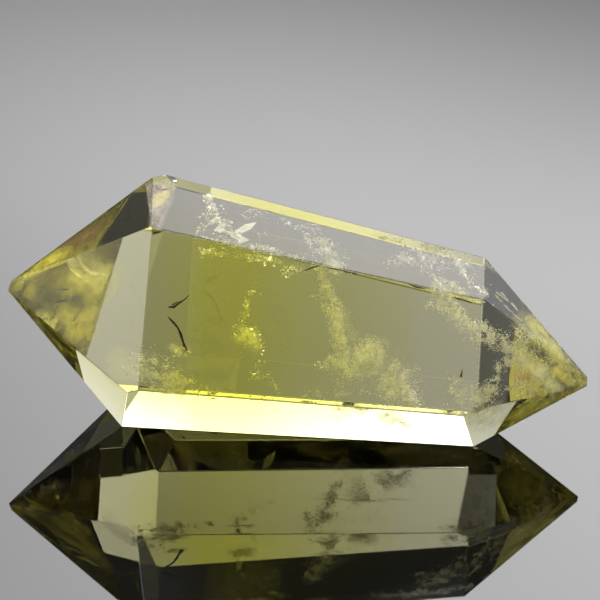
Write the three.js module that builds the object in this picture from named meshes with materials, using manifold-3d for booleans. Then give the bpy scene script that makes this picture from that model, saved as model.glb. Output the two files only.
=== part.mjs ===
// A polished citrine point with a pyramid at each end, lying on one of its six long faces.
// The stone tapers: its wide end is at -X and its narrow end at +X. Up is +Z and the front is -Y.
// Lengths are millimetres and angles are degrees.

import * as THREE from 'three';
import { mergeVertices } from 'three/addons/utils/BufferGeometryUtils.js';
import Module from 'manifold-3d';

// Every facet is ground flat, so it is given as a plane.
// `turn` is the way it faces round the long axis: 0 to the front, 90 up, 180 to the back, -90 down.
// `lean` tips it towards the narrow end, or towards the wide end where it is negative.

// The six long faces. `offset` is how far each plane lies from the point below the stone's middle.
const SIDE_FACES = {
  top: { turn: 79, lean: 9.8, offset: 19.6 },
  front: { turn: 26.5, lean: 5.6, offset: 9.8 },
  frontLower: { turn: -44, lean: 1.6, offset: 0.1 },
  resting: { turn: -90, lean: 0, offset: 0 },
  backLower: { turn: 200, lean: 0.6, offset: 8.1 },
  backUpper: { turn: 145.5, lean: 8.1, offset: 18.2 },
};

// Each pyramid ends in a short, steep ridge instead of a point: a lower and an upper end.
const WIDE_TIP = {
  lower: new THREE.Vector3(-30.9, 3.6, 12.4),
  upper: new THREE.Vector3(-30.4, 3.9, 13.5),
};
const NARROW_TIP = {
  lower: new THREE.Vector3(28.9, 3.4, 6.4),
  upper: new THREE.Vector3(28.2, 4, 7.8),
};

// The pyramid faces. Each one passes through the named end of its tip's ridge.
const WIDE_END_FACES = {
  top: { turn: 72.5, lean: -35, meets: 'upper' },
  front: { turn: 27, lean: -30.5, meets: 'lower' },
  frontLower: { turn: -36.5, lean: -41, meets: 'lower' },
  under: { turn: -90.5, lean: -44.5, meets: 'lower' },
  backLower: { turn: 190, lean: -34.5, meets: 'lower' },
  backUpper: { turn: 143.5, lean: -33.5, meets: 'upper' },
};
const NARROW_END_FACES = {
  top: { turn: 81, lean: 43.5, meets: 'upper' },
  front: { turn: 27, lean: 37, meets: 'lower' },
  frontLower: { turn: -40.5, lean: 29.5, meets: 'lower' },
  under: { turn: -93.5, lean: 29.5, meets: 'lower' },
  backLower: { turn: 203, lean: 31.5, meets: 'lower' },
  backUpper: { turn: 146.5, lean: 37.5, meets: 'upper' },
};

// The rough block that the facets are ground from, and the block that each facet takes away.
const ROUGH_LENGTH = 70;
const ROUGH_WIDTH = 40;
const ROUGH_HEIGHT = 40;
const GROUND_AWAY = 150;

const POLISH_ROUGHNESS = 0.05;
const CITRINE_COLOUR = 0xc9c46a;

const wasm = await Module();
wasm.setup();

// The way that a facet faces.
function facetNormal({ turn, lean }) {
  const turnAngle = THREE.MathUtils.degToRad(turn);
  const leanAngle = THREE.MathUtils.degToRad(lean);
  return new THREE.Vector3(
    Math.sin(leanAngle),
    -Math.cos(leanAngle) * Math.cos(turnAngle),
    Math.cos(leanAngle) * Math.sin(turnAngle),
  );
}

// A closed solid from a three.js geometry whose corners are shared.
function toSolid(geometry) {
  geometry.deleteAttribute('normal');
  geometry.deleteAttribute('uv');
  const merged = mergeVertices(geometry);
  return new wasm.Manifold(new wasm.Mesh({
    numProp: 3,
    vertProperties: new Float32Array(merged.attributes.position.array),
    triVerts: new Uint32Array(merged.index.array),
  }));
}

// A geometry with flat facets from a solid.
function toGeometry(solid) {
  const mesh = solid.getMesh();
  const shared = new THREE.BufferGeometry();
  shared.setAttribute('position', new THREE.BufferAttribute(mesh.vertProperties, 3));
  shared.setIndex(new THREE.BufferAttribute(mesh.triVerts, 1));
  return shared;
}

// Takes away everything beyond the plane that faces `normal` and passes through `point`.
function grind(solid, normal, point) {
  const block = new THREE.BoxGeometry(GROUND_AWAY, GROUND_AWAY, GROUND_AWAY);
  const facing = new THREE.Quaternion().setFromUnitVectors(new THREE.Vector3(0, 0, 1), normal);
  block.translate(0, 0, GROUND_AWAY / 2);
  block.applyQuaternion(facing);
  block.translate(point.x, point.y, point.z);
  return solid.subtract(toSolid(block));
}

// The rough block with all eighteen facets ground on it.
function groundStone() {
  const rough = new THREE.BoxGeometry(ROUGH_LENGTH, ROUGH_WIDTH, ROUGH_HEIGHT);
  let stone = toSolid(rough.translate(0, 0, ROUGH_HEIGHT / 4));
  for (const face of Object.values(SIDE_FACES)) {
    const normal = facetNormal(face);
    stone = grind(stone, normal, normal.clone().multiplyScalar(face.offset));
  }
  for (const face of Object.values(WIDE_END_FACES)) {
    stone = grind(stone, facetNormal(face), WIDE_TIP[face.meets]);
  }
  for (const face of Object.values(NARROW_END_FACES)) {
    stone = grind(stone, facetNormal(face), NARROW_TIP[face.meets]);
  }
  return toGeometry(stone);
}

// Puts the origin below the middle of the stone, on the surface that it rests on.
function standOnOrigin(geometry) {
  geometry.computeBoundingBox();
  const box = geometry.boundingBox;
  const middle = box.getCenter(new THREE.Vector3());
  return geometry.translate(-middle.x, -middle.y, -box.min.z);
}

function makeCrystal() {
  const material = new THREE.MeshStandardMaterial({
    color: CITRINE_COLOUR,
    roughness: POLISH_ROUGHNESS,
    metalness: 0,
    transparent: true,
    opacity: 0.45,
  });
  const crystal = new THREE.Mesh(standOnOrigin(groundStone()), material);
  crystal.name = 'crystal';
  return crystal;
}

const citrinePoint = new THREE.Group();
citrinePoint.add(makeCrystal());

export default citrinePoint;
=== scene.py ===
"""A polished, double-terminated citrine point on a pale, glossy floor in soft studio light."""

import math
import random

import bmesh
import bpy
from mathutils import Matrix, Vector, noise


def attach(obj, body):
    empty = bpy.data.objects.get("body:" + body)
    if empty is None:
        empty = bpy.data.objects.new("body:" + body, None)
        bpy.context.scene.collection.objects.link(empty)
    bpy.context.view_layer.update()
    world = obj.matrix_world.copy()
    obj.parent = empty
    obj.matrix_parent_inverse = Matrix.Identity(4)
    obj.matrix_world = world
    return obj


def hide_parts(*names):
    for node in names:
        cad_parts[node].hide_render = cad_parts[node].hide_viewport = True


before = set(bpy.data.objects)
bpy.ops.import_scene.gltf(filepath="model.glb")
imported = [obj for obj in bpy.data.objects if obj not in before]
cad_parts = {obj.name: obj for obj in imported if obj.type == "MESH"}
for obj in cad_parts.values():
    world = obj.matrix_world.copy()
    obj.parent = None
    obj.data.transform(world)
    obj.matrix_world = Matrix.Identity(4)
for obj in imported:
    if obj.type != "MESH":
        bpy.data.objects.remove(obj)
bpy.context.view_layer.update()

# The scene's unit is the metre.
MM = 0.001

# The photograph's frame and camera, which stands so that SEEN_POINT shows at SEEN_PIXEL.
IMAGE_SIZE = 600
FOCAL_LENGTH_PIXELS = 3236
SENSOR_WIDTH = 36
CAMERA_DOWN = math.radians(24.7)
CAMERA_ROLL = math.radians(2.14)
CAMERA_YAW = math.radians(4.56)
CAMERA_DISTANCE = 331.7 * MM
SEEN_POINT = Vector((1.0 * MM, -2.89 * MM, 0))
SEEN_PIXEL = (300, 436)
NEAREST_SEEN = 0.01
FURTHEST_SEEN = 20

QUARTZ_IOR = 1.548
# How strongly the stone absorbs red, green and blue light, for each metre of it.
ABSORBED = (15.0, 16.5, 44.0)

# The zone of richer colour, as places along the stone, and how unevenly it fades out.
ZONE_START = -16.5 * MM
ZONE_FULL = -9 * MM
ZONE_FADES = -4.5 * MM
ZONE_END = 12.5 * MM
ZONE_WANDERS = 4 * MM
ZONE_PATCHES = 9 * MM
ZONE_DETAIL = 3
ZONE_COLOUR = (0.87, 0.89, 0.065)
# How much of it lies under the front facet and under the front's lower facet.
ZONE_SHARES = {"front": 1.0, "front_lower": 0.82}

# The stone's edges are worn round, each to its own width.
WEAR_WIDTH = 0.08 * MM
WEAR_VARIES = (0.6, 1.4)
WEAR_STEPS = 3
WEAR_SEED = 7

# Low ripples on the back facets of the wide end.
RIPPLE_LENGTH = 5 * MM
RIPPLE_HEIGHT = 0.016 * MM
RIPPLE_DETAIL = 1


def add_mesh_object(name, builder, material):
    """Turns a bmesh into an object."""
    mesh = bpy.data.meshes.new(name)
    builder.to_mesh(mesh)
    builder.free()
    mesh.materials.append(material)
    piece = bpy.data.objects.new(name, mesh)
    bpy.context.scene.collection.objects.link(piece)
    return piece


# ---------------------------------------------------------------- materials' nodes

def socket(node, name, value):
    node.inputs[name].default_value = value


def opaque(colour):
    """A colour's red, green and blue with an alpha of 1."""
    return (*colour, 1)


def new_material(name):
    """A material with a Principled shader, its node tree and that shader."""
    material = bpy.data.materials.new(name)
    material.use_nodes = True
    tree = material.node_tree
    return material, tree, tree.nodes["Principled BSDF"]


def bare_material(name):
    """A material with no shader yet, its node tree and its output node."""
    material, tree, _ = new_material(name)
    tree.nodes.clear()
    return material, tree, tree.nodes.new("ShaderNodeOutputMaterial")


def feed(tree, target, value):
    """Gives a node's input another node's output or a number."""
    if isinstance(value, bpy.types.NodeSocket):
        tree.links.new(value, target)
    else:
        target.default_value = value


def calculate(tree, operation, *values):
    """The result of a Math node. Each value is another node's output or a number."""
    node = tree.nodes.new("ShaderNodeMath")
    node.operation = operation
    for target, value in zip(node.inputs, values):
        feed(tree, target, value)
    return node.outputs["Value"]


def product(tree, first, *others):
    """The product of some values, each another node's output or a number."""
    result = first
    for other in others:
        result = calculate(tree, "MULTIPLY", result, other)
    return result


def ramp(tree, value, start, end, first=0, last=1, kind="LINEAR"):
    """Goes from `first` to `last` while the value goes from `start` to `end`."""
    node = tree.nodes.new("ShaderNodeMapRange")
    node.interpolation_type = kind
    socket(node, "From Min", start)
    socket(node, "From Max", end)
    socket(node, "To Min", first)
    socket(node, "To Max", last)
    tree.links.new(value, node.inputs["Value"])
    return node.outputs["Result"]


def along_axes(tree, space):
    """The X, Y and Z outputs of a place on the piece."""
    place = tree.nodes.new("ShaderNodeTexCoord")
    parts = tree.nodes.new("ShaderNodeSeparateXYZ")
    tree.links.new(place.outputs[space], parts.inputs["Vector"])
    return parts.outputs


def noise_on_piece(tree, size, detail, roughness=0.5):
    """Noise that is fixed to the piece, in patches of about `size`."""
    place = tree.nodes.new("ShaderNodeTexCoord")
    texture = tree.nodes.new("ShaderNodeTexNoise")
    socket(texture, "Scale", 1 / size)
    socket(texture, "Detail", detail)
    socket(texture, "Roughness", roughness)
    tree.links.new(place.outputs["Object"], texture.inputs["Vector"])
    return texture.outputs["Fac"]


def attribute(tree, name):
    """A number that the mesh keeps for its faces or its vertices."""
    node = tree.nodes.new("ShaderNodeAttribute")
    node.attribute_name = name
    return node.outputs["Fac"]


def mix_shaders(tree, first, second, share):
    """Two shaders mixed. The second one's share is another node's output or a number."""
    mix = tree.nodes.new("ShaderNodeMixShader")
    feed(tree, mix.inputs["Fac"], share)
    tree.links.new(first, mix.inputs[1])
    tree.links.new(second, mix.inputs[2])
    return mix.outputs["Shader"]


# ---------------------------------------------------------------- camera

def camera_axes():
    """The camera's right, up and backward directions in the part's frame."""
    forward = Vector((0, math.cos(CAMERA_DOWN), -math.sin(CAMERA_DOWN)))
    level_right = Vector((1, 0, 0))
    level_down = Vector((0, -math.sin(CAMERA_DOWN), -math.cos(CAMERA_DOWN)))
    right = math.cos(CAMERA_ROLL) * level_right - math.sin(CAMERA_ROLL) * level_down
    down = math.sin(CAMERA_ROLL) * level_right + math.cos(CAMERA_ROLL) * level_down
    turn = Matrix.Rotation(CAMERA_YAW, 3, "Z")
    return turn @ right, turn @ -down, turn @ -forward


def pixel_ray(pixel):
    """The direction in which the camera sees a pixel of the photograph's frame."""
    right, up, backward = camera_axes()
    across = (pixel[0] - IMAGE_SIZE / 2) / FOCAL_LENGTH_PIXELS
    below = (pixel[1] - IMAGE_SIZE / 2) / FOCAL_LENGTH_PIXELS
    return (across * right - below * up - backward).normalized()


def camera_place():
    return SEEN_POINT - CAMERA_DISTANCE * pixel_ray(SEEN_PIXEL)


def make_camera():
    data = bpy.data.cameras.new("camera")
    data.sensor_width = SENSOR_WIDTH
    data.lens = SENSOR_WIDTH * FOCAL_LENGTH_PIXELS / IMAGE_SIZE
    data.clip_start = NEAREST_SEEN
    data.clip_end = FURTHEST_SEEN
    camera = bpy.data.objects.new("camera", data)
    facing = Matrix(camera_axes()).transposed().to_4x4()
    camera.matrix_world = Matrix.Translation(camera_place()) @ facing
    bpy.context.scene.collection.objects.link(camera)
    bpy.context.scene.camera = camera


# ---------------------------------------------------------------- floor and light

FLOOR_SIZE = 6.0
FLOOR_GREY = (0.09, 0.09, 0.09)
FLOOR_ROUGHNESS = 0.02


def make_floor():
    material, _, shader = new_material("glossy_floor")
    socket(shader, "Base Color", opaque(FLOOR_GREY))
    socket(shader, "Metallic", 1)
    socket(shader, "Roughness", FLOOR_ROUGHNESS)
    builder = bmesh.new()
    bmesh.ops.create_grid(builder, x_segments=1, y_segments=1, size=FLOOR_SIZE / 2)
    floor = add_mesh_object("floor", builder, material)


# Each softbox hangs where the stone sees it: `across` degrees to the right of the camera's line of
# sight and `above` degrees over the floor, and it covers `width` by `height` degrees.
SOFTBOXES = {
    "back": {"across": 16, "above": 29, "width": 74, "height": 30, "strength": 3.05},
    "back_right": {"across": 30, "above": 35, "width": 60, "height": 30, "strength": 1.1},
    "upper_back": {"across": 15, "above": 47, "width": 24, "height": 16, "strength": 1.3},
    "upper_right": {"across": 50, "above": 45, "width": 26, "height": 26, "strength": 0.65},
    "ceiling": {"across": -12, "above": 63, "width": 50, "height": 26, "strength": 3.15},
    "overhead": {"across": -60, "above": 78, "width": 44, "height": 34, "strength": 7.5},
    "key": {"across": 20, "above": 85, "width": 22, "height": 22, "strength": 95.0},
    "low_right": {"across": 38, "above": 13, "width": 24, "height": 14, "strength": 1.1},
    "low_left": {"across": -28, "above": 13, "width": 20, "height": 14, "strength": 0.8},
    "left": {"across": -95, "above": 22, "width": 60, "height": 36, "strength": 1.6},
    "right": {"across": 88, "above": 17, "width": 54, "height": 36, "strength": 1.5},
    "front_top": {"across": -160, "above": 60, "width": 60, "height": 20, "strength": 4.0},
    "front_left": {"across": -156, "above": 8, "width": 15, "height": 18, "strength": 2.1},
    "front": {"across": 180, "above": 17, "width": 70, "height": 22, "strength": 1.5},
    "front_right": {"across": 145, "above": 24, "width": 50, "height": 36, "strength": 1.6},
}
WHITE = (1, 1, 1)
BLUISH = (1, 0.98, 1.4)
SLIGHTLY_BLUISH = (0.97, 0.95, 1.16)
# Every softbox that isn't named here is white.
SOFTBOX_COLOURS = {"ceiling": SLIGHTLY_BLUISH, "overhead": BLUISH, "front_left": BLUISH}
SOFTBOX_DISTANCE = 1.5
# As shares of a softbox's width or height: where its middle is, and how broad its soft edge is.
SOFTBOX_MIDDLE = 0.5
SOFTBOX_EDGE = 0.35
ROOM_GREY = (0.2, 0.2, 0.2)


def camera_relative_direction(across, above):
    """A direction `across` to the right of the camera's line of sight and `above` the floor."""
    level = math.cos(math.radians(above))
    direction = Vector((
        level * math.sin(math.radians(across)),
        level * math.cos(math.radians(across)),
        math.sin(math.radians(above)),
    ))
    return Matrix.Rotation(CAMERA_YAW, 3, "Z") @ direction


def softbox_material(name, strength, colour):
    """Light that fades out towards the softbox's edges."""
    material, tree, output = bare_material(name)
    parts = along_axes(tree, "Generated")
    shares = []
    for axis in "XY":
        from_edge = calculate(tree, "PINGPONG", parts[axis], SOFTBOX_MIDDLE)
        shares.append(ramp(tree, from_edge, 0, SOFTBOX_EDGE, kind="SMOOTHSTEP"))
    light = tree.nodes.new("ShaderNodeEmission")
    socket(light, "Color", opaque(colour))
    tree.links.new(product(tree, *shares, strength), light.inputs["Strength"])
    clear = tree.nodes.new("ShaderNodeBsdfTransparent")
    total = tree.nodes.new("ShaderNodeAddShader")
    tree.links.new(light.outputs["Emission"], total.inputs[0])
    tree.links.new(clear.outputs["BSDF"], total.inputs[1])
    tree.links.new(total.outputs["Shader"], output.inputs["Surface"])
    return material


def make_softbox(name, across, above, width, height, strength):
    """A softbox that faces the stone."""
    colour = SOFTBOX_COLOURS.get(name, WHITE)
    builder = bmesh.new()
    bmesh.ops.create_grid(builder, x_segments=1, y_segments=1, size=1)
    half_width = math.tan(math.radians(width / 2))
    half_height = math.tan(math.radians(height / 2))
    shape = Matrix.Diagonal((half_width, half_height, 1, 1))
    builder.transform(Matrix.Scale(SOFTBOX_DISTANCE, 4) @ shape)
    softbox = add_mesh_object("softbox_" + name, builder, softbox_material(name, strength, colour))
    direction = camera_relative_direction(across, above)
    facing = direction.to_track_quat("Z", "Y").to_matrix().to_4x4()
    softbox.matrix_world = Matrix.Translation(direction * SOFTBOX_DISTANCE) @ facing


def make_studio():
    make_floor()
    for name, softbox in SOFTBOXES.items():
        make_softbox(name, **softbox)
    world = bpy.data.worlds.new("studio")
    world.use_nodes = True
    background = world.node_tree.nodes["Background"]
    socket(background, "Color", opaque(ROOM_GREY))
    bpy.context.scene.world = world
    bpy.context.scene.view_settings.view_transform = "Standard"


# ---------------------------------------------------------------- crystal

ZONE_ATTRIBUTE = "zone_share"
RIPPLE_ATTRIBUTE = "ripple_share"
# How far a facet's normal points forward, or towards an end or the back, before it counts as facing
# that way.
FACES_FRONT = 0.6
FACES_AWAY = 0.2

# How the CAD solid is read. Two of its corners are one if they lie this close, and two of its
# triangles belong to one facet if the dot product of their normals is at least this high. Smaller
# triangles and shorter edges are left out.
SAME_PLACE = 0.001 * MM
SAME_FACET = 0.9999
LEAST_AREA = 0.01 * MM * MM
LEAST_LENGTH = 0.3 * MM

# The block that the stone is ground from. A cut closes with a facet if its rim has enough edges.
BLOCK_SIZE = 0.1
CUT_TOLERANCE = 0.0001 * MM
LEAST_RIM_EDGES = 3


def fade_along(tree, start, end):
    """A value that goes from 0 to 1 between two places along the stone, unevenly."""
    patches = noise_on_piece(tree, ZONE_PATCHES, ZONE_DETAIL)
    along = along_axes(tree, "Object")["X"]
    wandering = calculate(tree, "MULTIPLY_ADD", patches, ZONE_WANDERS, along)
    shift = ZONE_WANDERS / 2
    return calculate(tree, "SQRT", ramp(tree, wandering, start + shift, end + shift))


def colour_zone(tree):
    """The stone's colour is richer in a zone behind the front of its wide half."""
    rise = fade_along(tree, ZONE_START, ZONE_FULL)
    fall = fade_along(tree, ZONE_END, ZONE_FADES)
    mix = tree.nodes.new("ShaderNodeMix")
    mix.data_type = "RGBA"
    tree.links.new(product(tree, rise, fall, attribute(tree, ZONE_ATTRIBUTE)), mix.inputs["Factor"])
    clear, rich = (item for item in mix.inputs if item.type == "RGBA")
    clear.default_value = opaque(WHITE)
    rich.default_value = opaque(ZONE_COLOUR)
    return next(item for item in mix.outputs if item.type == "RGBA")


def ripples(tree):
    """Low ripples that the facets with a share of them carry."""
    waves = noise_on_piece(tree, RIPPLE_LENGTH, RIPPLE_DETAIL)
    bump = tree.nodes.new("ShaderNodeBump")
    socket(bump, "Distance", RIPPLE_HEIGHT)
    tree.links.new(product(tree, waves, attribute(tree, RIPPLE_ATTRIBUTE)), bump.inputs["Height"])
    return bump.outputs["Normal"]


def crystal_material():
    material, tree, shader = new_material("citrine")
    tree.links.new(colour_zone(tree), shader.inputs["Base Color"])
    tree.links.new(ripples(tree), shader.inputs["Normal"])
    socket(shader, "Roughness", 0)
    socket(shader, "IOR", QUARTZ_IOR)
    socket(shader, "Transmission Weight", 1)
    density = max(ABSORBED)
    inside = tree.nodes.new("ShaderNodeVolumeAbsorption")
    socket(inside, "Color", opaque(1 - taken / density for taken in ABSORBED))
    socket(inside, "Density", density)
    tree.links.new(inside.outputs["Volume"], tree.nodes["Material Output"].inputs["Volume"])
    return material


def cad_facets():
    """The CAD solid's facets as (normal, point), and its edges as (point, normal, normal)."""
    builder = bmesh.new()
    builder.from_mesh(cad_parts["crystal"].data)
    bmesh.ops.remove_doubles(builder, verts=builder.verts, dist=SAME_PLACE)
    facets = []
    for face in builder.faces:
        if face.calc_area() < LEAST_AREA:
            continue
        if all(face.normal.dot(normal) < SAME_FACET for normal, _ in facets):
            facets.append((face.normal.copy(), face.calc_center_median()))
    edges = []
    for edge in builder.edges:
        first, second = (face.normal.copy() for face in edge.link_faces)
        if first.dot(second) < SAME_FACET and edge.calc_length() > LEAST_LENGTH:
            edges.append(((edge.verts[0].co + edge.verts[1].co) / 2, first, second))
    builder.free()
    return facets, edges


STONE_FACETS, STONE_EDGES = cad_facets()


def grind(builder, point, normal):
    """Cuts away what lies beyond the plane and closes the cut with one facet."""
    cut = bmesh.ops.bisect_plane(
        builder,
        geom=builder.verts[:] + builder.edges[:] + builder.faces[:],
        dist=CUT_TOLERANCE,
        plane_co=point,
        plane_no=normal,
        clear_outer=True,
    )
    rim = [item for item in cut["geom_cut"] if isinstance(item, bmesh.types.BMEdge)]
    if len(rim) >= LEAST_RIM_EDGES:
        bmesh.ops.contextual_create(builder, geom=rim)


def is_on_front(normal):
    """True for the long facets that face the front."""
    return normal.y < -FACES_FRONT and abs(normal.x) < FACES_AWAY


def is_on_wide_end_back(normal):
    """True for the wide pyramid's facets that face away from the front."""
    return normal.x < -FACES_AWAY and normal.y > FACES_AWAY


def mark_facets(crystal):
    """Marks how much of the richer colour lies behind each facet, and which facets are rippled."""
    zone = crystal.data.attributes.new(ZONE_ATTRIBUTE, "FLOAT", "FACE")
    rippled = crystal.data.attributes.new(RIPPLE_ATTRIBUTE, "FLOAT", "FACE")
    for polygon in crystal.data.polygons:
        if is_on_front(polygon.normal):
            place = "front" if polygon.normal.z > 0 else "front_lower"
            zone.data[polygon.index].value = ZONE_SHARES[place]
        if is_on_wide_end_back(polygon.normal):
            rippled.data[polygon.index].value = 1


def wear_edge(builder, middle, first, second, width):
    """Grinds an edge round between its two facets' normals, over about `width`."""
    bevel = math.acos(min(1, first.dot(second)))
    for step in range(1, WEAR_STEPS + 1):
        share = step / (WEAR_STEPS + 1)
        normal = first.slerp(second, share)
        depth = width / 2 * math.tan(bevel / 2) * math.cos(bevel * (share - 0.5))
        grind(builder, middle - normal * depth, normal)


def make_crystal():
    """Grinds a block to the CAD solid's facets and wears its edges round."""
    builder = bmesh.new()
    bmesh.ops.create_cube(builder, size=BLOCK_SIZE)
    for normal, point in STONE_FACETS:
        grind(builder, point, normal)
    wear = random.Random(WEAR_SEED)
    for middle, first, second in STONE_EDGES:
        wear_edge(builder, middle, first, second, WEAR_WIDTH * wear.uniform(*WEAR_VARIES))
    bmesh.ops.recalc_face_normals(builder, faces=builder.faces)
    crystal = add_mesh_object("polished_crystal", builder, crystal_material())
    mark_facets(crystal)
    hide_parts("crystal")
    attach(crystal, "root")


# ---------------------------------------------------------------- inclusions

# The share of the light that inclusions let through to their other side.
INCLUSION_GLOW = 0.04
GLOSS_ROUGHNESS = 0.15
# The noise of thin patches in films.
PATCH_DETAIL = 5
PATCH_ROUGHNESS = 0.65
# How far below every facet the flakes of veils, the films and the clouds stay.
INSIDE_MARGIN = 0.12 * MM


def is_inside(point):
    """True if the point lies in the stone, at least the margin below every facet."""
    return all((point - on_facet).dot(normal) < -INSIDE_MARGIN for normal, on_facet in STONE_FACETS)


def entry(pixel):
    """Where the line of sight through a pixel enters, its direction and the facet's normal."""
    start = camera_place()
    ray = pixel_ray(pixel)
    meetings = [
        ((on_facet - start).dot(normal) / ray.dot(normal), normal)
        for normal, on_facet in STONE_FACETS
        if ray.dot(normal) < 0
    ]
    distance, normal = max(meetings, key=lambda meeting: meeting[0])
    return start + distance * ray, ray, normal


def inside_stone(pixel, depth):
    """The point that shows at a pixel, `depth` along the bent line of sight inside the stone."""
    place, ray, normal = entry(pixel)
    ratio = 1 / QUARTZ_IOR
    facing = -ray.dot(normal)
    bent = ratio * ray + (ratio * facing - math.sqrt(1 - ratio**2 * (1 - facing**2))) * normal
    return place + depth * bent.normalized()


def inclusion_material(name, colour, see_through=0, gloss=0):
    """Solid matter that scatters light. `see_through` is a number, or a function that makes nodes."""
    material, tree, output = bare_material(name)
    near_side = tree.nodes.new("ShaderNodeBsdfDiffuse")
    far_side = tree.nodes.new("ShaderNodeBsdfTranslucent")
    for node in (near_side, far_side):
        socket(node, "Color", opaque(colour))
    shine = tree.nodes.new("ShaderNodeBsdfGlossy")
    socket(shine, "Roughness", GLOSS_ROUGHNESS)
    clear = tree.nodes.new("ShaderNodeBsdfTransparent")
    matter = mix_shaders(tree, near_side.outputs["BSDF"], far_side.outputs["BSDF"], INCLUSION_GLOW)
    surface = mix_shaders(tree, matter, shine.outputs["BSDF"], gloss)
    share = see_through(tree) if callable(see_through) else see_through
    total = mix_shaders(tree, surface, clear.outputs["BSDF"], share)
    tree.links.new(total, output.inputs["Surface"])
    return material


def finish_inclusion(name, builder, material):
    piece = add_mesh_object(name, builder, material)
    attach(piece, "root")


# Dark, curved needles: the pixels they pass, how deep they lie, and their radii in millimetres at
# those pixels.
NEEDLES = {
    "long_needle": {
        "pixels": [(168, 317), (173, 322), (178, 328), (181, 335), (183, 342), (186, 351)],
        "depth": 2.4 * MM,
        "radii": [0.04, 0.13, 0.09, 0.13, 0.11, 0.2],
    },
    "short_needle": {
        "pixels": [(189, 295), (184, 300), (179, 303), (174, 307), (168, 307)],
        "depth": 2.6 * MM,
        "radii": [0.03, 0.07, 0.1, 0.13, 0.05],
    },
    "short_needle_branch": {
        "pixels": [(181, 302), (177, 302), (172, 305)],
        "depth": 2.5 * MM,
        "radii": [0.03, 0.05, 0.07],
    },
    "edge_mark_left": {
        "pixels": [(150, 230), (154, 232), (161, 232)],
        "depth": 0.3 * MM,
        "radii": [0.03, 0.07, 0.02],
    },
    "edge_mark_long": {
        "pixels": [(303, 271), (309, 269), (314, 267), (322, 265)],
        "depth": 0.6 * MM,
        "radii": [0.03, 0.1, 0.08, 0.03],
    },
    "edge_mark_middle": {
        "pixels": [(330, 268), (340, 270), (348, 272), (357, 274)],
        "depth": 0.3 * MM,
        "radii": [0.04, 0.08, 0.04, 0.07],
    },
    "edge_mark_right": {
        "pixels": [(408, 284), (416, 287), (426, 289)],
        "depth": 0.3 * MM,
        "radii": [0.03, 0.09, 0.03],
    },
    "edge_mark_end": {
        "pixels": [(452, 297), (461, 299), (472, 303)],
        "depth": 0.3 * MM,
        "radii": [0.03, 0.08, 0.05],
    },
    "speck_right": {
        "pixels": [(461, 376), (462, 372), (462, 369)],
        "depth": 1.5 * MM,
        "radii": [0.12, 0.06, 0.02],
    },
}
NEEDLE_BROWN = (0.06, 0.035, 0.015)
NEEDLE_SIDES = 8
NEEDLE_STEPS = 6
NEEDLE_VARIES = (0.8, 1.2)
NEEDLE_SEED = 3


def add_tube(builder, points, radii):
    """A closed tube through the points, with a radius at each one."""
    rings = []
    for index, point in enumerate(points):
        before = points[max(index - 1, 0)]
        after = points[min(index + 1, len(points) - 1)]
        facing = (after - before).to_track_quat("Z", "Y")
        ring = []
        for side in range(NEEDLE_SIDES):
            angle = math.tau * side / NEEDLE_SIDES
            offset = facing @ Vector((math.cos(angle), math.sin(angle), 0))
            ring.append(builder.verts.new(point + radii[index] * offset))
        rings.append(ring)
    for first, second in zip(rings, rings[1:]):
        for side in range(NEEDLE_SIDES):
            following = (side + 1) % NEEDLE_SIDES
            builder.faces.new((first[side], first[following], second[following], second[side]))
    builder.faces.new(reversed(rings[0]))
    builder.faces.new(rings[-1])


def between(values, place):
    """The value at a place along a list, which counts its items from 0."""
    index = min(int(place), len(values) - 2)
    return values[index] + (values[index + 1] - values[index]) * (place - index)


def make_needles():
    material = inclusion_material("needle_brown", NEEDLE_BROWN)
    rough = random.Random(NEEDLE_SEED)
    for name, needle in NEEDLES.items():
        corners = [inside_stone(pixel, needle["depth"]) for pixel in needle["pixels"]]
        points = []
        radii = []
        steps = (len(corners) - 1) * NEEDLE_STEPS
        for step in range(steps + 1):
            place = step / NEEDLE_STEPS
            points.append(between(corners, place))
            radii.append(between(needle["radii"], place) * MM * rough.uniform(*NEEDLE_VARIES))
        builder = bmesh.new()
        add_tube(builder, points, radii)
        finish_inclusion(name, builder, material)


# How see-through the flakes of veils and the plates are, and how glossy each kind is.
FLAKE_SEE_THROUGH = 0.15
VEIL_GLOSS = 0.2
SPARKLE_GLOSS = 0.5
PLATE_GLOSS = 0.1
# A flake's corners: how few and how many, how far each strays round the flake, as a share of the
# step to the next, and the shortest reach of one, as a share of the flake's size.
FLAKE_CORNERS = (4, 7)
CORNER_STRAYS = 0.3
SHORTEST_REACH = 0.5


def add_flake(builder, centre, normal, along, size, stretch, chance):
    """A small, ragged platelet, longer in the `along` direction where `stretch` is above 1."""
    side = normal.cross(along).normalized()
    length = side.cross(normal).normalized()
    corner_count = chance.randint(*FLAKE_CORNERS)
    corners = []
    for index in range(corner_count):
        angle = math.tau * (index + chance.uniform(-CORNER_STRAYS, CORNER_STRAYS)) / corner_count
        reach = size * chance.uniform(SHORTEST_REACH, 1)
        offset = reach * (math.cos(angle) * stretch * length + math.sin(angle) * side)
        corners.append(builder.verts.new(centre + offset))
    builder.faces.new(corners)


def facing_light(pixel, spread, chance):
    """A direction near the one in which a flake mirrors the key light to the camera."""
    scatter = Vector([chance.gauss(0, spread) for _ in range(3)])
    return (KEY_DIRECTION - pixel_ray(pixel) + scatter).normalized()


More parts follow.
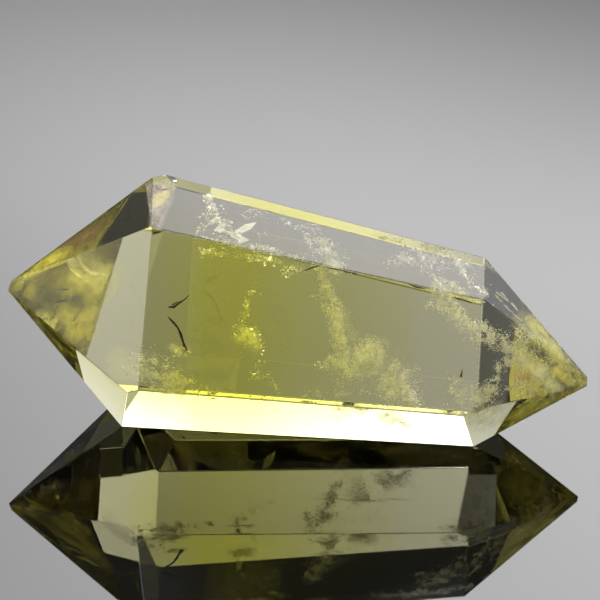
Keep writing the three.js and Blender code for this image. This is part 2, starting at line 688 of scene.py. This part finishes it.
# Veils are healed cracks, seen as many tiny flakes. Each follows a line of pixels and spreads
# over `spread` pixels at each of them. In millimetres, `depth` is how deep its flakes lie, `size` is
# how large they are, and `clumps` is how large their denser patches are. `stretch` is how many times
# longer than wide they are, along the line.
VEILS = {
    "veil_middle": {
        "pixels": [(318, 264), (326, 285), (330, 305), (338, 325), (343, 340), (347, 356), (352, 366)],
        "spread": [2, 3, 4, 4, 5, 6, 6],
        "depth": (4, 12), "count": 5000, "size": (0.015, 0.07), "clumps": 1.6, "stretch": 3.2,
    },
    "veil_lower": {
        "pixels": [(345, 372), (362, 362), (374, 352), (384, 366), (396, 384), (404, 398), (412, 406)],
        "spread": [8, 9, 7, 6, 7, 7, 5],
        "depth": (4, 12), "count": 7500, "size": (0.015, 0.07), "clumps": 2.0, "stretch": 3,
    },
    "veil_foot": {
        "pixels": [(300, 392), (335, 396), (365, 398), (392, 402)],
        "spread": [4, 4, 5, 5],
        "depth": (2, 3), "count": 1120, "size": (0.015, 0.06), "clumps": 1.2, "stretch": 1.5,
    },
    "veil_right": {
        "pixels": [(434, 286), (444, 297), (452, 308), (462, 322), (476, 331), (494, 338), (508, 348)],
        "spread": [5, 5, 5, 4, 4, 5, 5],
        "depth": (2, 8), "count": 3200, "size": (0.015, 0.07), "clumps": 1.2, "stretch": 3,
    },
    "veil_right_foot": {
        "pixels": [(456, 384), (463, 392), (452, 400), (470, 404), (484, 398), (494, 384)],
        "spread": [4, 5, 6, 5, 5, 5],
        "depth": (1, 2.5), "count": 2660, "size": (0.015, 0.08), "clumps": 1.0, "stretch": 1.4,
    },
    "speckled_foot": {
        "pixels": [(142, 362), (158, 372), (172, 380), (190, 388), (215, 393)],
        "spread": [7, 8, 7, 3, 1.5],
        "depth": (1, 2), "count": 2400, "size": (0.02, 0.1), "clumps": 0.9, "stretch": 2.2,
    },
    "crack_trail": {
        "pixels": [(252, 290), (247, 298), (247, 306), (245, 318), (240, 334), (252, 334), (258, 346)],
        "spread": [1, 1, 1, 2, 4, 3, 3],
        "depth": (5, 6), "count": 920, "size": (0.03, 0.1), "clumps": 0.8, "stretch": 1.4,
    },
    "crack_trail_foot": {
        "pixels": [(262, 352), (258, 366), (255, 378), (268, 375), (275, 385), (278, 396)],
        "spread": [2, 2, 2, 2, 1.5, 1.5],
        "depth": (4, 5), "count": 350, "size": (0.02, 0.09), "clumps": 0.8, "stretch": 1.4,
    },
    "crack_under_edge": {
        "pixels": [(201, 251), (212, 253), (238, 255), (250, 257), (272, 260), (286, 272), (300, 268)],
        "spread": [2, 2, 2, 3, 2, 2, 2],
        "depth": (2.5, 4), "count": 1320, "size": (0.03, 0.11), "clumps": 0.8, "stretch": 1.6,
    },
    "sparkle_patch": {
        "pixels": [(318, 366), (328, 364), (332, 356), (336, 364), (348, 370)],
        "spread": [2, 3, 3, 2, 2],
        "depth": (4, 5), "count": 520, "size": (0.03, 0.11), "clumps": 0.8, "stretch": 1.6,
    },
    "top_feather_left": {
        "pixels": [(206, 196), (214, 206), (208, 222), (220, 218), (224, 232), (236, 236)],
        "spread": [2, 3, 6, 5, 3, 3],
        "depth": (1, 2.5), "count": 1440, "size": (0.03, 0.16), "clumps": 0.9, "stretch": 2.2,
    },
    "top_feather_middle": {
        "pixels": [(240, 212), (262, 214), (282, 221), (300, 226), (330, 228)],
        "spread": [4, 3, 3, 2, 1],
        "depth": (1, 3), "count": 420, "size": (0.02, 0.09), "clumps": 1.0, "stretch": 2,
    },
    "top_fan": {
        "pixels": [(302, 232), (314, 240), (326, 250), (342, 264)],
        "spread": [1.5, 4, 6, 5],
        "depth": (1, 3), "count": 1700, "size": (0.015, 0.06), "clumps": 0.9, "stretch": 3.5,
    },
    "top_feather_right": {
        "pixels": [(392, 262), (404, 256), (418, 254), (432, 264), (446, 258), (460, 262), (470, 272)],
        "spread": [3, 4, 5, 5, 5, 5, 4],
        "depth": (1, 3), "count": 3200, "size": (0.015, 0.07), "clumps": 0.9, "stretch": 2.5,
    },
    "top_line_right": {
        "pixels": [(408, 254), (420, 266), (434, 278), (446, 290)],
        "spread": [1, 1, 1, 1],
        "depth": (1, 3), "count": 380, "size": (0.02, 0.08), "clumps": 0.9, "stretch": 3,
    },
    "needle_foot": {
        "pixels": [(169, 349), (176, 349), (182, 353), (189, 352)],
        "spread": [2, 2.5, 2, 1.5],
        "depth": (2.2, 2.8), "count": 320, "size": (0.02, 0.09), "clumps": 0.8, "stretch": 2,
    },
    "cap_streak_upper": {
        "pixels": [(485, 281), (494, 286), (505, 296), (516, 308), (520, 318)],
        "spread": [0.3, 0.4, 0.5, 0.4, 0.3],
        "depth": (0.8, 1.4), "count": 500, "size": (0.015, 0.045), "clumps": 2, "stretch": 3,
    },
    "cap_streak_middle": {
        "pixels": [(486, 286), (497, 297), (506, 307), (516, 316), (530, 326)],
        "spread": [0.3, 0.5, 0.6, 0.4, 0.6],
        "depth": (0.8, 1.6), "count": 560, "size": (0.015, 0.045), "clumps": 2, "stretch": 3,
    },
    "cap_streak_lower": {
        "pixels": [(496, 292), (503, 297), (511, 303), (514, 312)],
        "spread": [0.3, 0.5, 0.4, 0.3],
        "depth": (0.8, 1.6), "count": 330, "size": (0.015, 0.045), "clumps": 2, "stretch": 3,
    },
    "cap_cloud_upper": {
        "pixels": [(482, 330), (492, 337), (504, 343), (512, 350)],
        "spread": [3, 4, 4, 4],
        "depth": (0.8, 2), "count": 1700, "size": (0.02, 0.08), "clumps": 0.9, "stretch": 1.5,
    },
    "cap_cloud_middle": {
        "pixels": [(497, 370), (502, 364), (508, 358), (511, 368)],
        "spread": [2, 3, 3, 3],
        "depth": (0.8, 2), "count": 900, "size": (0.02, 0.1), "clumps": 0.8, "stretch": 1.5,
    },
    "cap_cloud_lower": {
        "pixels": [(482, 404), (488, 396), (492, 388), (497, 378)],
        "spread": [3, 4, 3, 2],
        "depth": (0.8, 2), "count": 1200, "size": (0.02, 0.1), "clumps": 0.8, "stretch": 1.5,
    },
    "tip_arc": {
        "pixels": [(536, 376), (546, 378), (555, 386), (557, 396), (549, 403)],
        "spread": [4, 4, 3, 3, 3],
        "depth": (0.6, 1.4), "count": 1600, "size": (0.02, 0.07), "clumps": 0.9, "stretch": 1.5,
    },
    "tip_band": {
        "pixels": [(520, 330), (532, 345), (545, 358), (560, 372), (572, 384)],
        "spread": [4, 6, 6, 5, 3],
        "depth": (0.6, 1.6), "count": 1800, "size": (0.02, 0.07), "clumps": 1.1, "stretch": 1.5,
    },
    "cap_mottle": {
        "pixels": [(516, 335), (521, 350), (520, 368), (522, 384), (528, 396)],
        "spread": [4, 6, 6, 6, 4],
        "depth": (0.6, 2.2), "count": 2600, "size": (0.02, 0.09), "clumps": 1.0, "stretch": 1.5,
    },
    "top_line_end": {
        "pixels": [(456, 264), (466, 276), (474, 288), (484, 294)],
        "spread": [1.5, 1.5, 1.5, 2],
        "depth": (1, 3), "count": 460, "size": (0.02, 0.09), "clumps": 0.9, "stretch": 3,
    },
}
VEIL_WHITE = (0.98, 0.95, 0.72)
VEIL_YELLOW = (0.98, 0.94, 0.55)
# The yellow veils' names start so. They lie in the narrow pyramid and beside it.
YELLOW_VEILS = ("cap", "tip", "veil_right")
KEY_DIRECTION = camera_relative_direction(SOFTBOXES["key"]["across"], SOFTBOXES["key"]["above"])
VEIL_TILT = 0.6
# A veil's depth goes up and down this often in each part of its line, and single flakes scatter
# round it by some millimetres.
LAYER_WAVES = 1.7
LAYER_SCATTER = 0.15
# The higher this is, the more of the flakes are small ones.
SMALL_FLAKES = 3
# For mathutils' fractal noise: how smooth it is, how much finer each octave is, and their number.
CLUMP_NOISE = (0.8, 2.1, 4)
CLUMP_THRESHOLD = 0.04
# How many places are tried for each flake.
TRIES = 30


def make_veil(name, pattern, material, pixels, spread, depth, count, size, clumps, stretch):
    """Flakes along a line of pixels. `pattern` is a number that makes each veil's chances its own."""
    chance = random.Random(pattern)
    builder = bmesh.new()
    points = [Vector(pixel) for pixel in pixels]
    shift = Vector((pattern, 0, 0))
    made = 0
    for _ in range(TRIES * count):
        if made == count:
            break
        place = chance.uniform(0, len(points) - 1)
        width = between(spread, place)
        pixel = between(points, place) + Vector((chance.gauss(0, width), chance.gauss(0, width)))
        layer = (1 + noise.noise(Vector((place * LAYER_WAVES, pattern, 0)))) / 2
        deep = (between(depth, layer) + chance.gauss(0, LAYER_SCATTER)) * MM
        centre = inside_stone(pixel, deep)
        if not is_inside(centre):
            continue
        if noise.fractal(centre / (clumps * MM) + shift, *CLUMP_NOISE) < CLUMP_THRESHOLD:
            continue
        run = points[int(place) + 1] - points[int(place)]
        along = inside_stone(pixel + run, deep) - centre
        flake = between(size, chance.random() ** SMALL_FLAKES) * MM
        normal = facing_light(pixel, VEIL_TILT, chance)
        add_flake(builder, centre, normal, along, flake, stretch, chance)
        made += 1
    finish_inclusion(name, builder, material)


def make_veils():
    white = inclusion_material("veil_white", VEIL_WHITE, FLAKE_SEE_THROUGH, VEIL_GLOSS)
    yellow = inclusion_material("veil_yellow", VEIL_YELLOW, FLAKE_SEE_THROUGH, VEIL_GLOSS)
    for pattern, (name, veil) in enumerate(VEILS.items()):
        make_veil(name, pattern, yellow if name.startswith(YELLOW_VEILS) else white, **veil)


# Single flakes that catch the light: the pixel, the depth and the size in millimetres.
SPARKLES = [
    ((254, 291), 4.4, 0.16), ((251, 292), 4.4, 0.08), ((234, 315), 4.4, 0.07), ((247, 306), 4.4, 0.06),
    ((240, 335), 4.6, 0.18), ((247, 333), 4.5, 0.12), ((236, 325), 4.5, 0.12), ((236, 335), 4.6, 0.14),
    ((244, 341), 4.7, 0.15), ((252, 329), 4.4, 0.17), ((254, 334), 4.4, 0.12), ((256, 339), 4.6, 0.12),
    ((256, 344), 4.8, 0.25), ((252, 347), 4.8, 0.16), ((261, 346), 4.6, 0.18), ((246, 347), 4.8, 0.14),
    ((262, 354), 4.8, 0.1), ((254, 374), 4.2, 0.16), ((252, 378), 4.2, 0.1), ((260, 374), 4.2, 0.1),
    ((265, 363), 4.3, 0.1), ((207, 253), 3.0, 0.2), ((204, 252), 3.0, 0.1), ((213, 253), 3.0, 0.1),
    ((239, 258), 3.2, 0.14), ((269, 259), 3.2, 0.2), ((265, 262), 3.2, 0.12), ((258, 259), 3.2, 0.09),
    ((292, 274), 3.4, 0.2), ((287, 273), 3.4, 0.12), ((297, 271), 3.4, 0.1), ((306, 262), 3.0, 0.14),
    ((179, 350), 2.5, 0.16), ((174, 348), 2.5, 0.12), ((188, 352), 2.5, 0.1), ((331, 357), 4.0, 0.13),
    ((320, 365), 4.0, 0.16), ((328, 364), 4.0, 0.14), ((336, 363), 4.0, 0.12), ((345, 368), 4.0, 0.12),
    ((337, 335), 4.0, 0.1), ((376, 372), 4.0, 0.1), ((175, 181), 0.8, 0.16), ((174, 184), 0.8, 0.1),
    ((210, 198), 1.2, 0.16), ((222, 206), 1.4, 0.18), ((260, 236), 1.6, 0.18), ((265, 233), 1.6, 0.12),
    ((287, 223), 1.2, 0.12), ((448, 256), 1.5, 0.1), ((420, 256), 1.5, 0.12), ((404, 260), 1.5, 0.1),
    ((499, 274), 0.5, 0.14), ((509, 389), 1.2, 0.28), ((506, 386), 1.2, 0.15), ((519, 385), 1.2, 0.25),
    ((511, 366), 1.2, 0.15), ((505, 362), 1.2, 0.12), ((498, 369), 1.2, 0.12), ((542, 403), 1.0, 0.15),
    ((517, 329), 1.0, 0.14), ((563, 364), 0.8, 0.12),
]
SPARKLE_TILT = 0.15
SPARKLE_STRETCH = (1, 2.5)
SPARKLE_SEED = 21
# Each one breaks up into a main flake and smaller ones: how far off they lie, in pixels, and how
# large they are.
SPARKLE_SHARES = [(0, 0.7), (1.5, 0.5), (2, 0.4), (3, 0.35), (4, 0.3), (5, 0.25)]

# Larger flat flakes in the top: the depth in millimetres, and the pixels of their corners.
PLATES = [
    (2.0, [(235, 231), (245, 224), (257, 222), (251, 229), (242, 233)]),
    (1.8, [(224, 230), (237, 233), (250, 240), (243, 243), (231, 236)]),
    (1.6, [(236, 246), (240, 240), (245, 241), (240, 248)]),
    (1.8, [(206, 226), (214, 218), (222, 216), (216, 222)]),
    (1.8, [(214, 230), (221, 222), (224, 229), (221, 233)]),
]


def make_sparkles():
    material = inclusion_material("sparkle_white", VEIL_WHITE, gloss=SPARKLE_GLOSS)
    chance = random.Random(SPARKLE_SEED)
    builder = bmesh.new()
    for pixel, depth, size in SPARKLES:
        for spread, share in SPARKLE_SHARES:
            place = Vector(pixel) + Vector((chance.gauss(0, spread), chance.gauss(0, spread)))
            along = Vector((chance.uniform(-1, 1), 0, chance.uniform(-1, 1)))
            normal = facing_light(pixel, SPARKLE_TILT, chance)
            centre = inside_stone(place, depth * MM)
            stretch = chance.uniform(*SPARKLE_STRETCH)
            add_flake(builder, centre, normal, along, share * size * MM, stretch, chance)
    finish_inclusion("sparkles", builder, material)


def make_plates():
    material = inclusion_material("plate_cream", VEIL_WHITE, FLAKE_SEE_THROUGH, PLATE_GLOSS)
    builder = bmesh.new()
    for depth, pixels in PLATES:
        corners = [builder.verts.new(inside_stone(pixel, depth * MM)) for pixel in pixels]
        builder.faces.new(corners)
    finish_inclusion("plates", builder, material)


# Hazes are soft fogs and stains on thin films. In the wide tip, films also hold painted light and
# painted shade: honey and straw films stand in for the bright light and curved bands of the clear tip,
# partly its own yellow, and dark olive films stand in for its shade. Each follows a line of pixels,
# `reach` pixels to both sides of it, at a depth in millimetres. `cover` is how dense its middle is,
# and `patchy` is the share of that which its thin patches lack.
HAZE_WHITE = (0.98, 0.95, 0.8)
HAZE_PALE = (0.98, 0.95, 0.5)
HAZE_BEIGE = (0.95, 0.82, 0.72)
# Partly painted light: in the wide tip's films this honey stands in for bright light through the glass.
HAZE_HONEY = (0.98, 0.88, 0.1)
# Partly painted light: in the wide tip's bands this straw stands in for bright bands refracted by its
# facets.
HAZE_STRAW = (0.98, 0.92, 0.22)
HAZE_BROWN = (0.3, 0.16, 0.05)
# Painted shade where it darkens the wide tip's films.
HAZE_OLIVE = (0.12, 0.11, 0.03)
HAZE_RUST = (0.55, 0.25, 0.06)
HAZE_AMBER = (0.6, 0.3, 0.06)
HAZES = {
    "fog_middle": {
        "pixels": [(320, 260), (328, 285), (334, 308), (340, 328), (347, 348), (350, 368)],
        "reach": [8, 12, 13, 14, 20, 22], "depth": 5, "colour": HAZE_WHITE, "cover": 0.5, "patchy": 1,
    },
    "fog_lower": {
        "pixels": [(330, 376), (350, 366), (370, 352), (385, 364), (396, 384), (408, 402)],
        "reach": [18, 24, 22, 22, 24, 16], "depth": 6, "colour": HAZE_WHITE, "cover": 0.55, "patchy": 1,
    },
    "fog_right": {
        "pixels": [(434, 286), (446, 300), (458, 318), (474, 330), (494, 338)],
        "reach": [12, 14, 13, 12, 10], "depth": 2.2, "colour": HAZE_PALE, "cover": 0.6, "patchy": 1,
    },
    "fog_right_foot": {
        "pixels": [(448, 388), (462, 390), (478, 398), (490, 386)],
        "reach": [8, 11, 11, 8], "depth": 1.8, "colour": HAZE_PALE, "cover": 0.6, "patchy": 1,
    },
    "fog_left_foot": {
        "pixels": [(136, 356), (152, 368), (170, 380), (196, 390)],
        "reach": [12, 16, 13, 6], "depth": 1.6, "colour": HAZE_WHITE, "cover": 0.8, "patchy": 1,
    },
    "fog_corner": {
        "pixels": [(163, 176), (162, 196), (158, 214), (154, 230)],
        "reach": [14, 14, 10, 8], "depth": 1.0, "colour": HAZE_BEIGE, "cover": 0.6,
    },
    # Painted light: this honey film fills the wide tip, standing in for the bright light through its
    # clear glass, partly the stone's own yellow.
    "yellow_and_painted_light_wide_tip": {
        "pixels": [(14, 289), (35, 290), (60, 293), (86, 300), (104, 312)],
        "reach": [4, 14, 34, 52, 54], "depth": 2, "colour": HAZE_HONEY, "cover": 0.75, "patchy": 0.3,
    },
    # Painted light: the same kind of honey film at the foot of the wide tip.
    "yellow_and_painted_light_wide_tip_foot": {
        "pixels": [(64, 322), (80, 328), (96, 334)],
        "reach": [10, 20, 18], "depth": 1.4, "colour": HAZE_HONEY, "cover": 0.9,
    },
    # Painted light: a honey film along the top of the wide tip, for the bright light there, partly the
    # stone's own yellow.
    "yellow_and_painted_light_tip_top": {
        "pixels": [(20, 282), (40, 266), (60, 255), (78, 244)],
        "reach": [4, 9, 9, 5], "depth": 1.2, "colour": HAZE_HONEY, "cover": 0.9,
    },
    "stain_wide_tip": {
        "pixels": [(58, 250), (74, 242), (92, 234), (108, 216)],
        "reach": [5, 12, 12, 6], "depth": 1.4, "colour": HAZE_BROWN, "cover": 0.75,
    },
    # Painted light: a straw band that stands in for a bright band refracted by the tip's wavy facets.
    "painted_light_bands_wide_tip": {
        "pixels": [(77, 256), (84, 267), (92, 273), (107, 277)],
        "reach": [2, 3, 4, 3], "depth": 1.4, "colour": HAZE_STRAW, "cover": 0.9,
    },
    # Painted light: another straw band of the same kind.
    "painted_light_bands_wide_tip_left": {
        "pixels": [(66, 262), (72, 270), (80, 277), (90, 281)],
        "reach": [2, 2, 3, 2], "depth": 1.5, "colour": HAZE_STRAW, "cover": 0.8,
    },
    "fog_crack": {
        "pixels": [(230, 330), (240, 334), (252, 339), (262, 349)],
        "reach": [7, 12, 14, 8], "depth": 4.4, "colour": HAZE_WHITE, "cover": 0.9, "patchy": 1,
    },
    "fog_needle_foot": {
        "pixels": [(166, 348), (175, 348), (183, 353), (192, 352)],
        "reach": [4, 7, 7, 4], "depth": 2.2, "colour": HAZE_WHITE, "cover": 0.8, "patchy": 1,
    },
    # Painted shade: a nearly opaque dark olive film where the clear wide tip shows shade.
    "painted_shade_wide_tip_left": {
        "pixels": [(50, 274), (49, 290), (50, 304), (54, 316)],
        "reach": [16, 22, 19, 10], "depth": 1, "colour": HAZE_OLIVE, "cover": 0.95, "patchy": 0.3,
    },
    # Painted shade: a smaller dark olive film of the same kind.
    "painted_shade_wide_tip_right": {
        "pixels": [(64, 298), (72, 299), (80, 300), (88, 302)],
        "reach": [5, 10, 10, 5], "depth": 1, "colour": HAZE_OLIVE, "cover": 0.9, "patchy": 0.3,
    },
    "fog_narrow_top": {
        "pixels": [(516, 312), (532, 326), (548, 342), (562, 358), (576, 374)],
        "reach": [8, 12, 12, 10, 7], "depth": 0.9, "colour": HAZE_STRAW, "cover": 0.7,
    },
    "fog_narrow_arc": {
        "pixels": [(512, 352), (526, 360), (542, 374), (556, 388), (552, 402)],
        "reach": [6, 9, 11, 8, 6], "depth": 1, "colour": HAZE_PALE, "cover": 0.8,
    },
    "honey_narrow": {
        "pixels": [(500, 424), (518, 414), (536, 405), (556, 397)],
        "reach": [6, 9, 9, 7], "depth": 0.5, "colour": HAZE_STRAW, "cover": 0.9,
    },
    "stain_narrow": {
        "pixels": [(512, 378), (518, 376), (525, 376), (532, 380)],
        "reach": [3, 6, 6, 3], "depth": 0.8, "colour": HAZE_RUST, "cover": 0.6,
    },
    "stain_narrow_tip": {
        "pixels": [(556, 374), (563, 380), (567, 386), (572, 390)],
        "reach": [4, 6, 5, 3], "depth": 0.6, "colour": HAZE_AMBER, "cover": 0.3,
    },
    "fog_narrow_foot": {
        "pixels": [(466, 414), (478, 418), (490, 414), (502, 404)],
        "reach": [12, 16, 16, 8], "depth": 0.8, "colour": HAZE_PALE, "cover": 0.6, "patchy": 1,
    },
    "fog_wide_foot": {
        "pixels": [(104, 362), (116, 366), (128, 370), (142, 372)],
        "reach": [14, 20, 22, 14], "depth": 1, "colour": HAZE_PALE, "cover": 0.4,
    },
    "honey_narrow_tip": {
        "pixels": [(550, 366), (560, 374), (570, 382), (578, 386)],
        "reach": [8, 9, 7, 4], "depth": 0.5, "colour": HAZE_HONEY, "cover": 0.7,
    },
    "smudge_narrow": {
        "pixels": [(514, 338), (524, 342), (536, 346), (546, 352)],
        "reach": [5, 9, 7, 4], "depth": 1.2, "colour": HAZE_OLIVE, "cover": 0.5,
    },
}
HAZE_ATTRIBUTE = "haze_cover"
HAZE_STEPS = 60
HAZE_CROSS_STEPS = 24
# How high a film's waves are, and how far apart, in pixels.
HAZE_WAVE = 0.3 * MM
HAZE_WAVE_PIXELS = 12
# A film leans back to face the light: how much deeper it lies with each pixel up the picture.
HAZE_LEAN = 0.05 * MM
HAZE_LEAST_DEPTH = 0.4 * MM
# A film's patches, and the noise in which they turn from thin to dense.
HAZE_PATCHES = 1.5 * MM
HAZE_THICKENS = (0.4, 0.65)


def haze_material(name, colour, patchy):
    """Matter that is as dense as the film's attribute says, and broken up by fine patches."""
    def see_through(tree):
        patches = noise_on_piece(tree, HAZE_PATCHES, PATCH_DETAIL, PATCH_ROUGHNESS)
        dense = ramp(tree, patches, *HAZE_THICKENS, 1 - patchy, 1)
        return calculate(tree, "SUBTRACT", 1, product(tree, attribute(tree, HAZE_ATTRIBUTE), dense))

    return inclusion_material(name, colour, see_through)


def film_pixel(points, reach, place, side):
    """The pixel at a place along a film's line and at a side of it, from -1 to 1 across its reach."""
    index = min(int(place), len(points) - 2)
    run = (points[index + 1] - points[index]).normalized()
    across = Vector((-run.y, run.x))
    return between(points, place) + side * between(reach, place) * across


def make_haze(name, pattern, pixels, reach, depth, colour, cover, patchy=0.5):
    """A wavy film along a line of pixels that fades out towards its rim."""
    builder = bmesh.new()
    density = builder.verts.layers.float.new(HAZE_ATTRIBUTE)
    points = [Vector(pixel) for pixel in pixels]
    middle = sum(points, Vector((0, 0))) / len(points)
    rows = []
    for step in range(HAZE_STEPS + 1):
        place = (len(points) - 1) * step / HAZE_STEPS
        row = []
        for cross_step in range(HAZE_CROSS_STEPS + 1):
            side = 2 * cross_step / HAZE_CROSS_STEPS - 1
            pixel = film_pixel(points, reach, place, side)
            on_film = Vector((pixel.x / HAZE_WAVE_PIXELS, pixel.y / HAZE_WAVE_PIXELS, pattern))
            wave = noise.noise(on_film)
            deep = depth * MM + HAZE_WAVE * wave + HAZE_LEAN * (middle.y - pixel.y)
            vertex = builder.verts.new(inside_stone(pixel, max(deep, HAZE_LEAST_DEPTH)))
            vertex[density] = cover * (1 - side**2) * math.sqrt(math.sin(math.pi * step / HAZE_STEPS))
            row.append(vertex)
        rows.append(row)
    for first, second in zip(rows, rows[1:]):
        for left in range(HAZE_CROSS_STEPS):
            corners = (first[left], first[left + 1], second[left + 1], second[left])
            if all(is_inside(corner.co) for corner in corners):
                builder.faces.new(corners).smooth = True
    loose = [vertex for vertex in builder.verts if not vertex.link_faces]
    bmesh.ops.delete(builder, geom=loose, context="VERTS")
    finish_inclusion(name, builder, haze_material(name, colour, patchy))


def make_hazes():
    for pattern, (name, haze) in enumerate(HAZES.items()):
        make_haze(name, pattern, **haze)


# Clouds in the narrow pyramid: wavy, torn sheets across it, from CLOUD_START to CLOUD_END along the
# stone. A sheet lies up to CLOUD_SHIFT off the stone's middle, and it is turned and leant by chance.
CLOUD_COUNT = 6
CLOUD_START = 23.5 * MM
CLOUD_END = 28 * MM
CLOUD_SPAN = 20 * MM
CLOUD_CELLS = 80
CLOUD_HEIGHT = 8 * MM
CLOUD_SHIFT = 2 * MM
CLOUD_TURN = (-0.3, 0.3)
CLOUD_LEAN = (-0.8, -0.2)
CLOUD_WAVE = 1.6 * MM
CLOUD_WAVE_LENGTH = 4 * MM
CLOUD_NOISE = (0.8, 2.0, 3)
CLOUD_SEED = 5
# A sheet's patches, the noise in which they turn from holes to matter, and how see-through that is.
CLOUD_PATCHES = 2.6 * MM
CLOUD_THICKENS = (0.48, 0.6)
CLOUD_SEE_THROUGH = 0.3


def torn(tree):
    """How see-through a cloud is at each place: wholly so in its holes."""
    patches = noise_on_piece(tree, CLOUD_PATCHES, PATCH_DETAIL, PATCH_ROUGHNESS)
    return ramp(tree, patches, *CLOUD_THICKENS, 1, CLOUD_SEE_THROUGH)


def make_cloud(number, material, chance):
    """One wavy sheet, cut off where it would leave the stone."""
    builder = bmesh.new()
    along = CLOUD_START + (CLOUD_END - CLOUD_START) * number / (CLOUD_COUNT - 1)
    middle = Vector((along, chance.uniform(-CLOUD_SHIFT, CLOUD_SHIFT), CLOUD_HEIGHT))
    normal = Vector((1, chance.uniform(*CLOUD_TURN), chance.uniform(*CLOUD_LEAN))).normalized()
    facing = normal.to_track_quat("Z", "Y").to_matrix().to_4x4()
    bmesh.ops.create_grid(
        builder,
        x_segments=CLOUD_CELLS,
        y_segments=CLOUD_CELLS,
        size=CLOUD_SPAN / 2,
        matrix=Matrix.Translation(middle) @ facing,
    )
    for vertex in builder.verts:
        place = vertex.co / CLOUD_WAVE_LENGTH + Vector((number, 0, 0))
        vertex.co += normal * noise.fractal(place, *CLOUD_NOISE) * CLOUD_WAVE
    outside = [face for face in builder.faces if not all(is_inside(vertex.co) for vertex in face.verts)]
    bmesh.ops.delete(builder, geom=outside, context="FACES")
    for face in builder.faces:
        face.smooth = True
    finish_inclusion(f"cloud_{number + 1}", builder, material)


def make_clouds():
    material = inclusion_material("cloud_honey", HAZE_STRAW, torn)
    chance = random.Random(CLOUD_SEED)
    for number in range(CLOUD_COUNT):
        make_cloud(number, material, chance)


make_camera()
make_studio()
make_crystal()
make_needles()
make_veils()
make_sparkles()
make_plates()
make_hazes()
make_clouds()
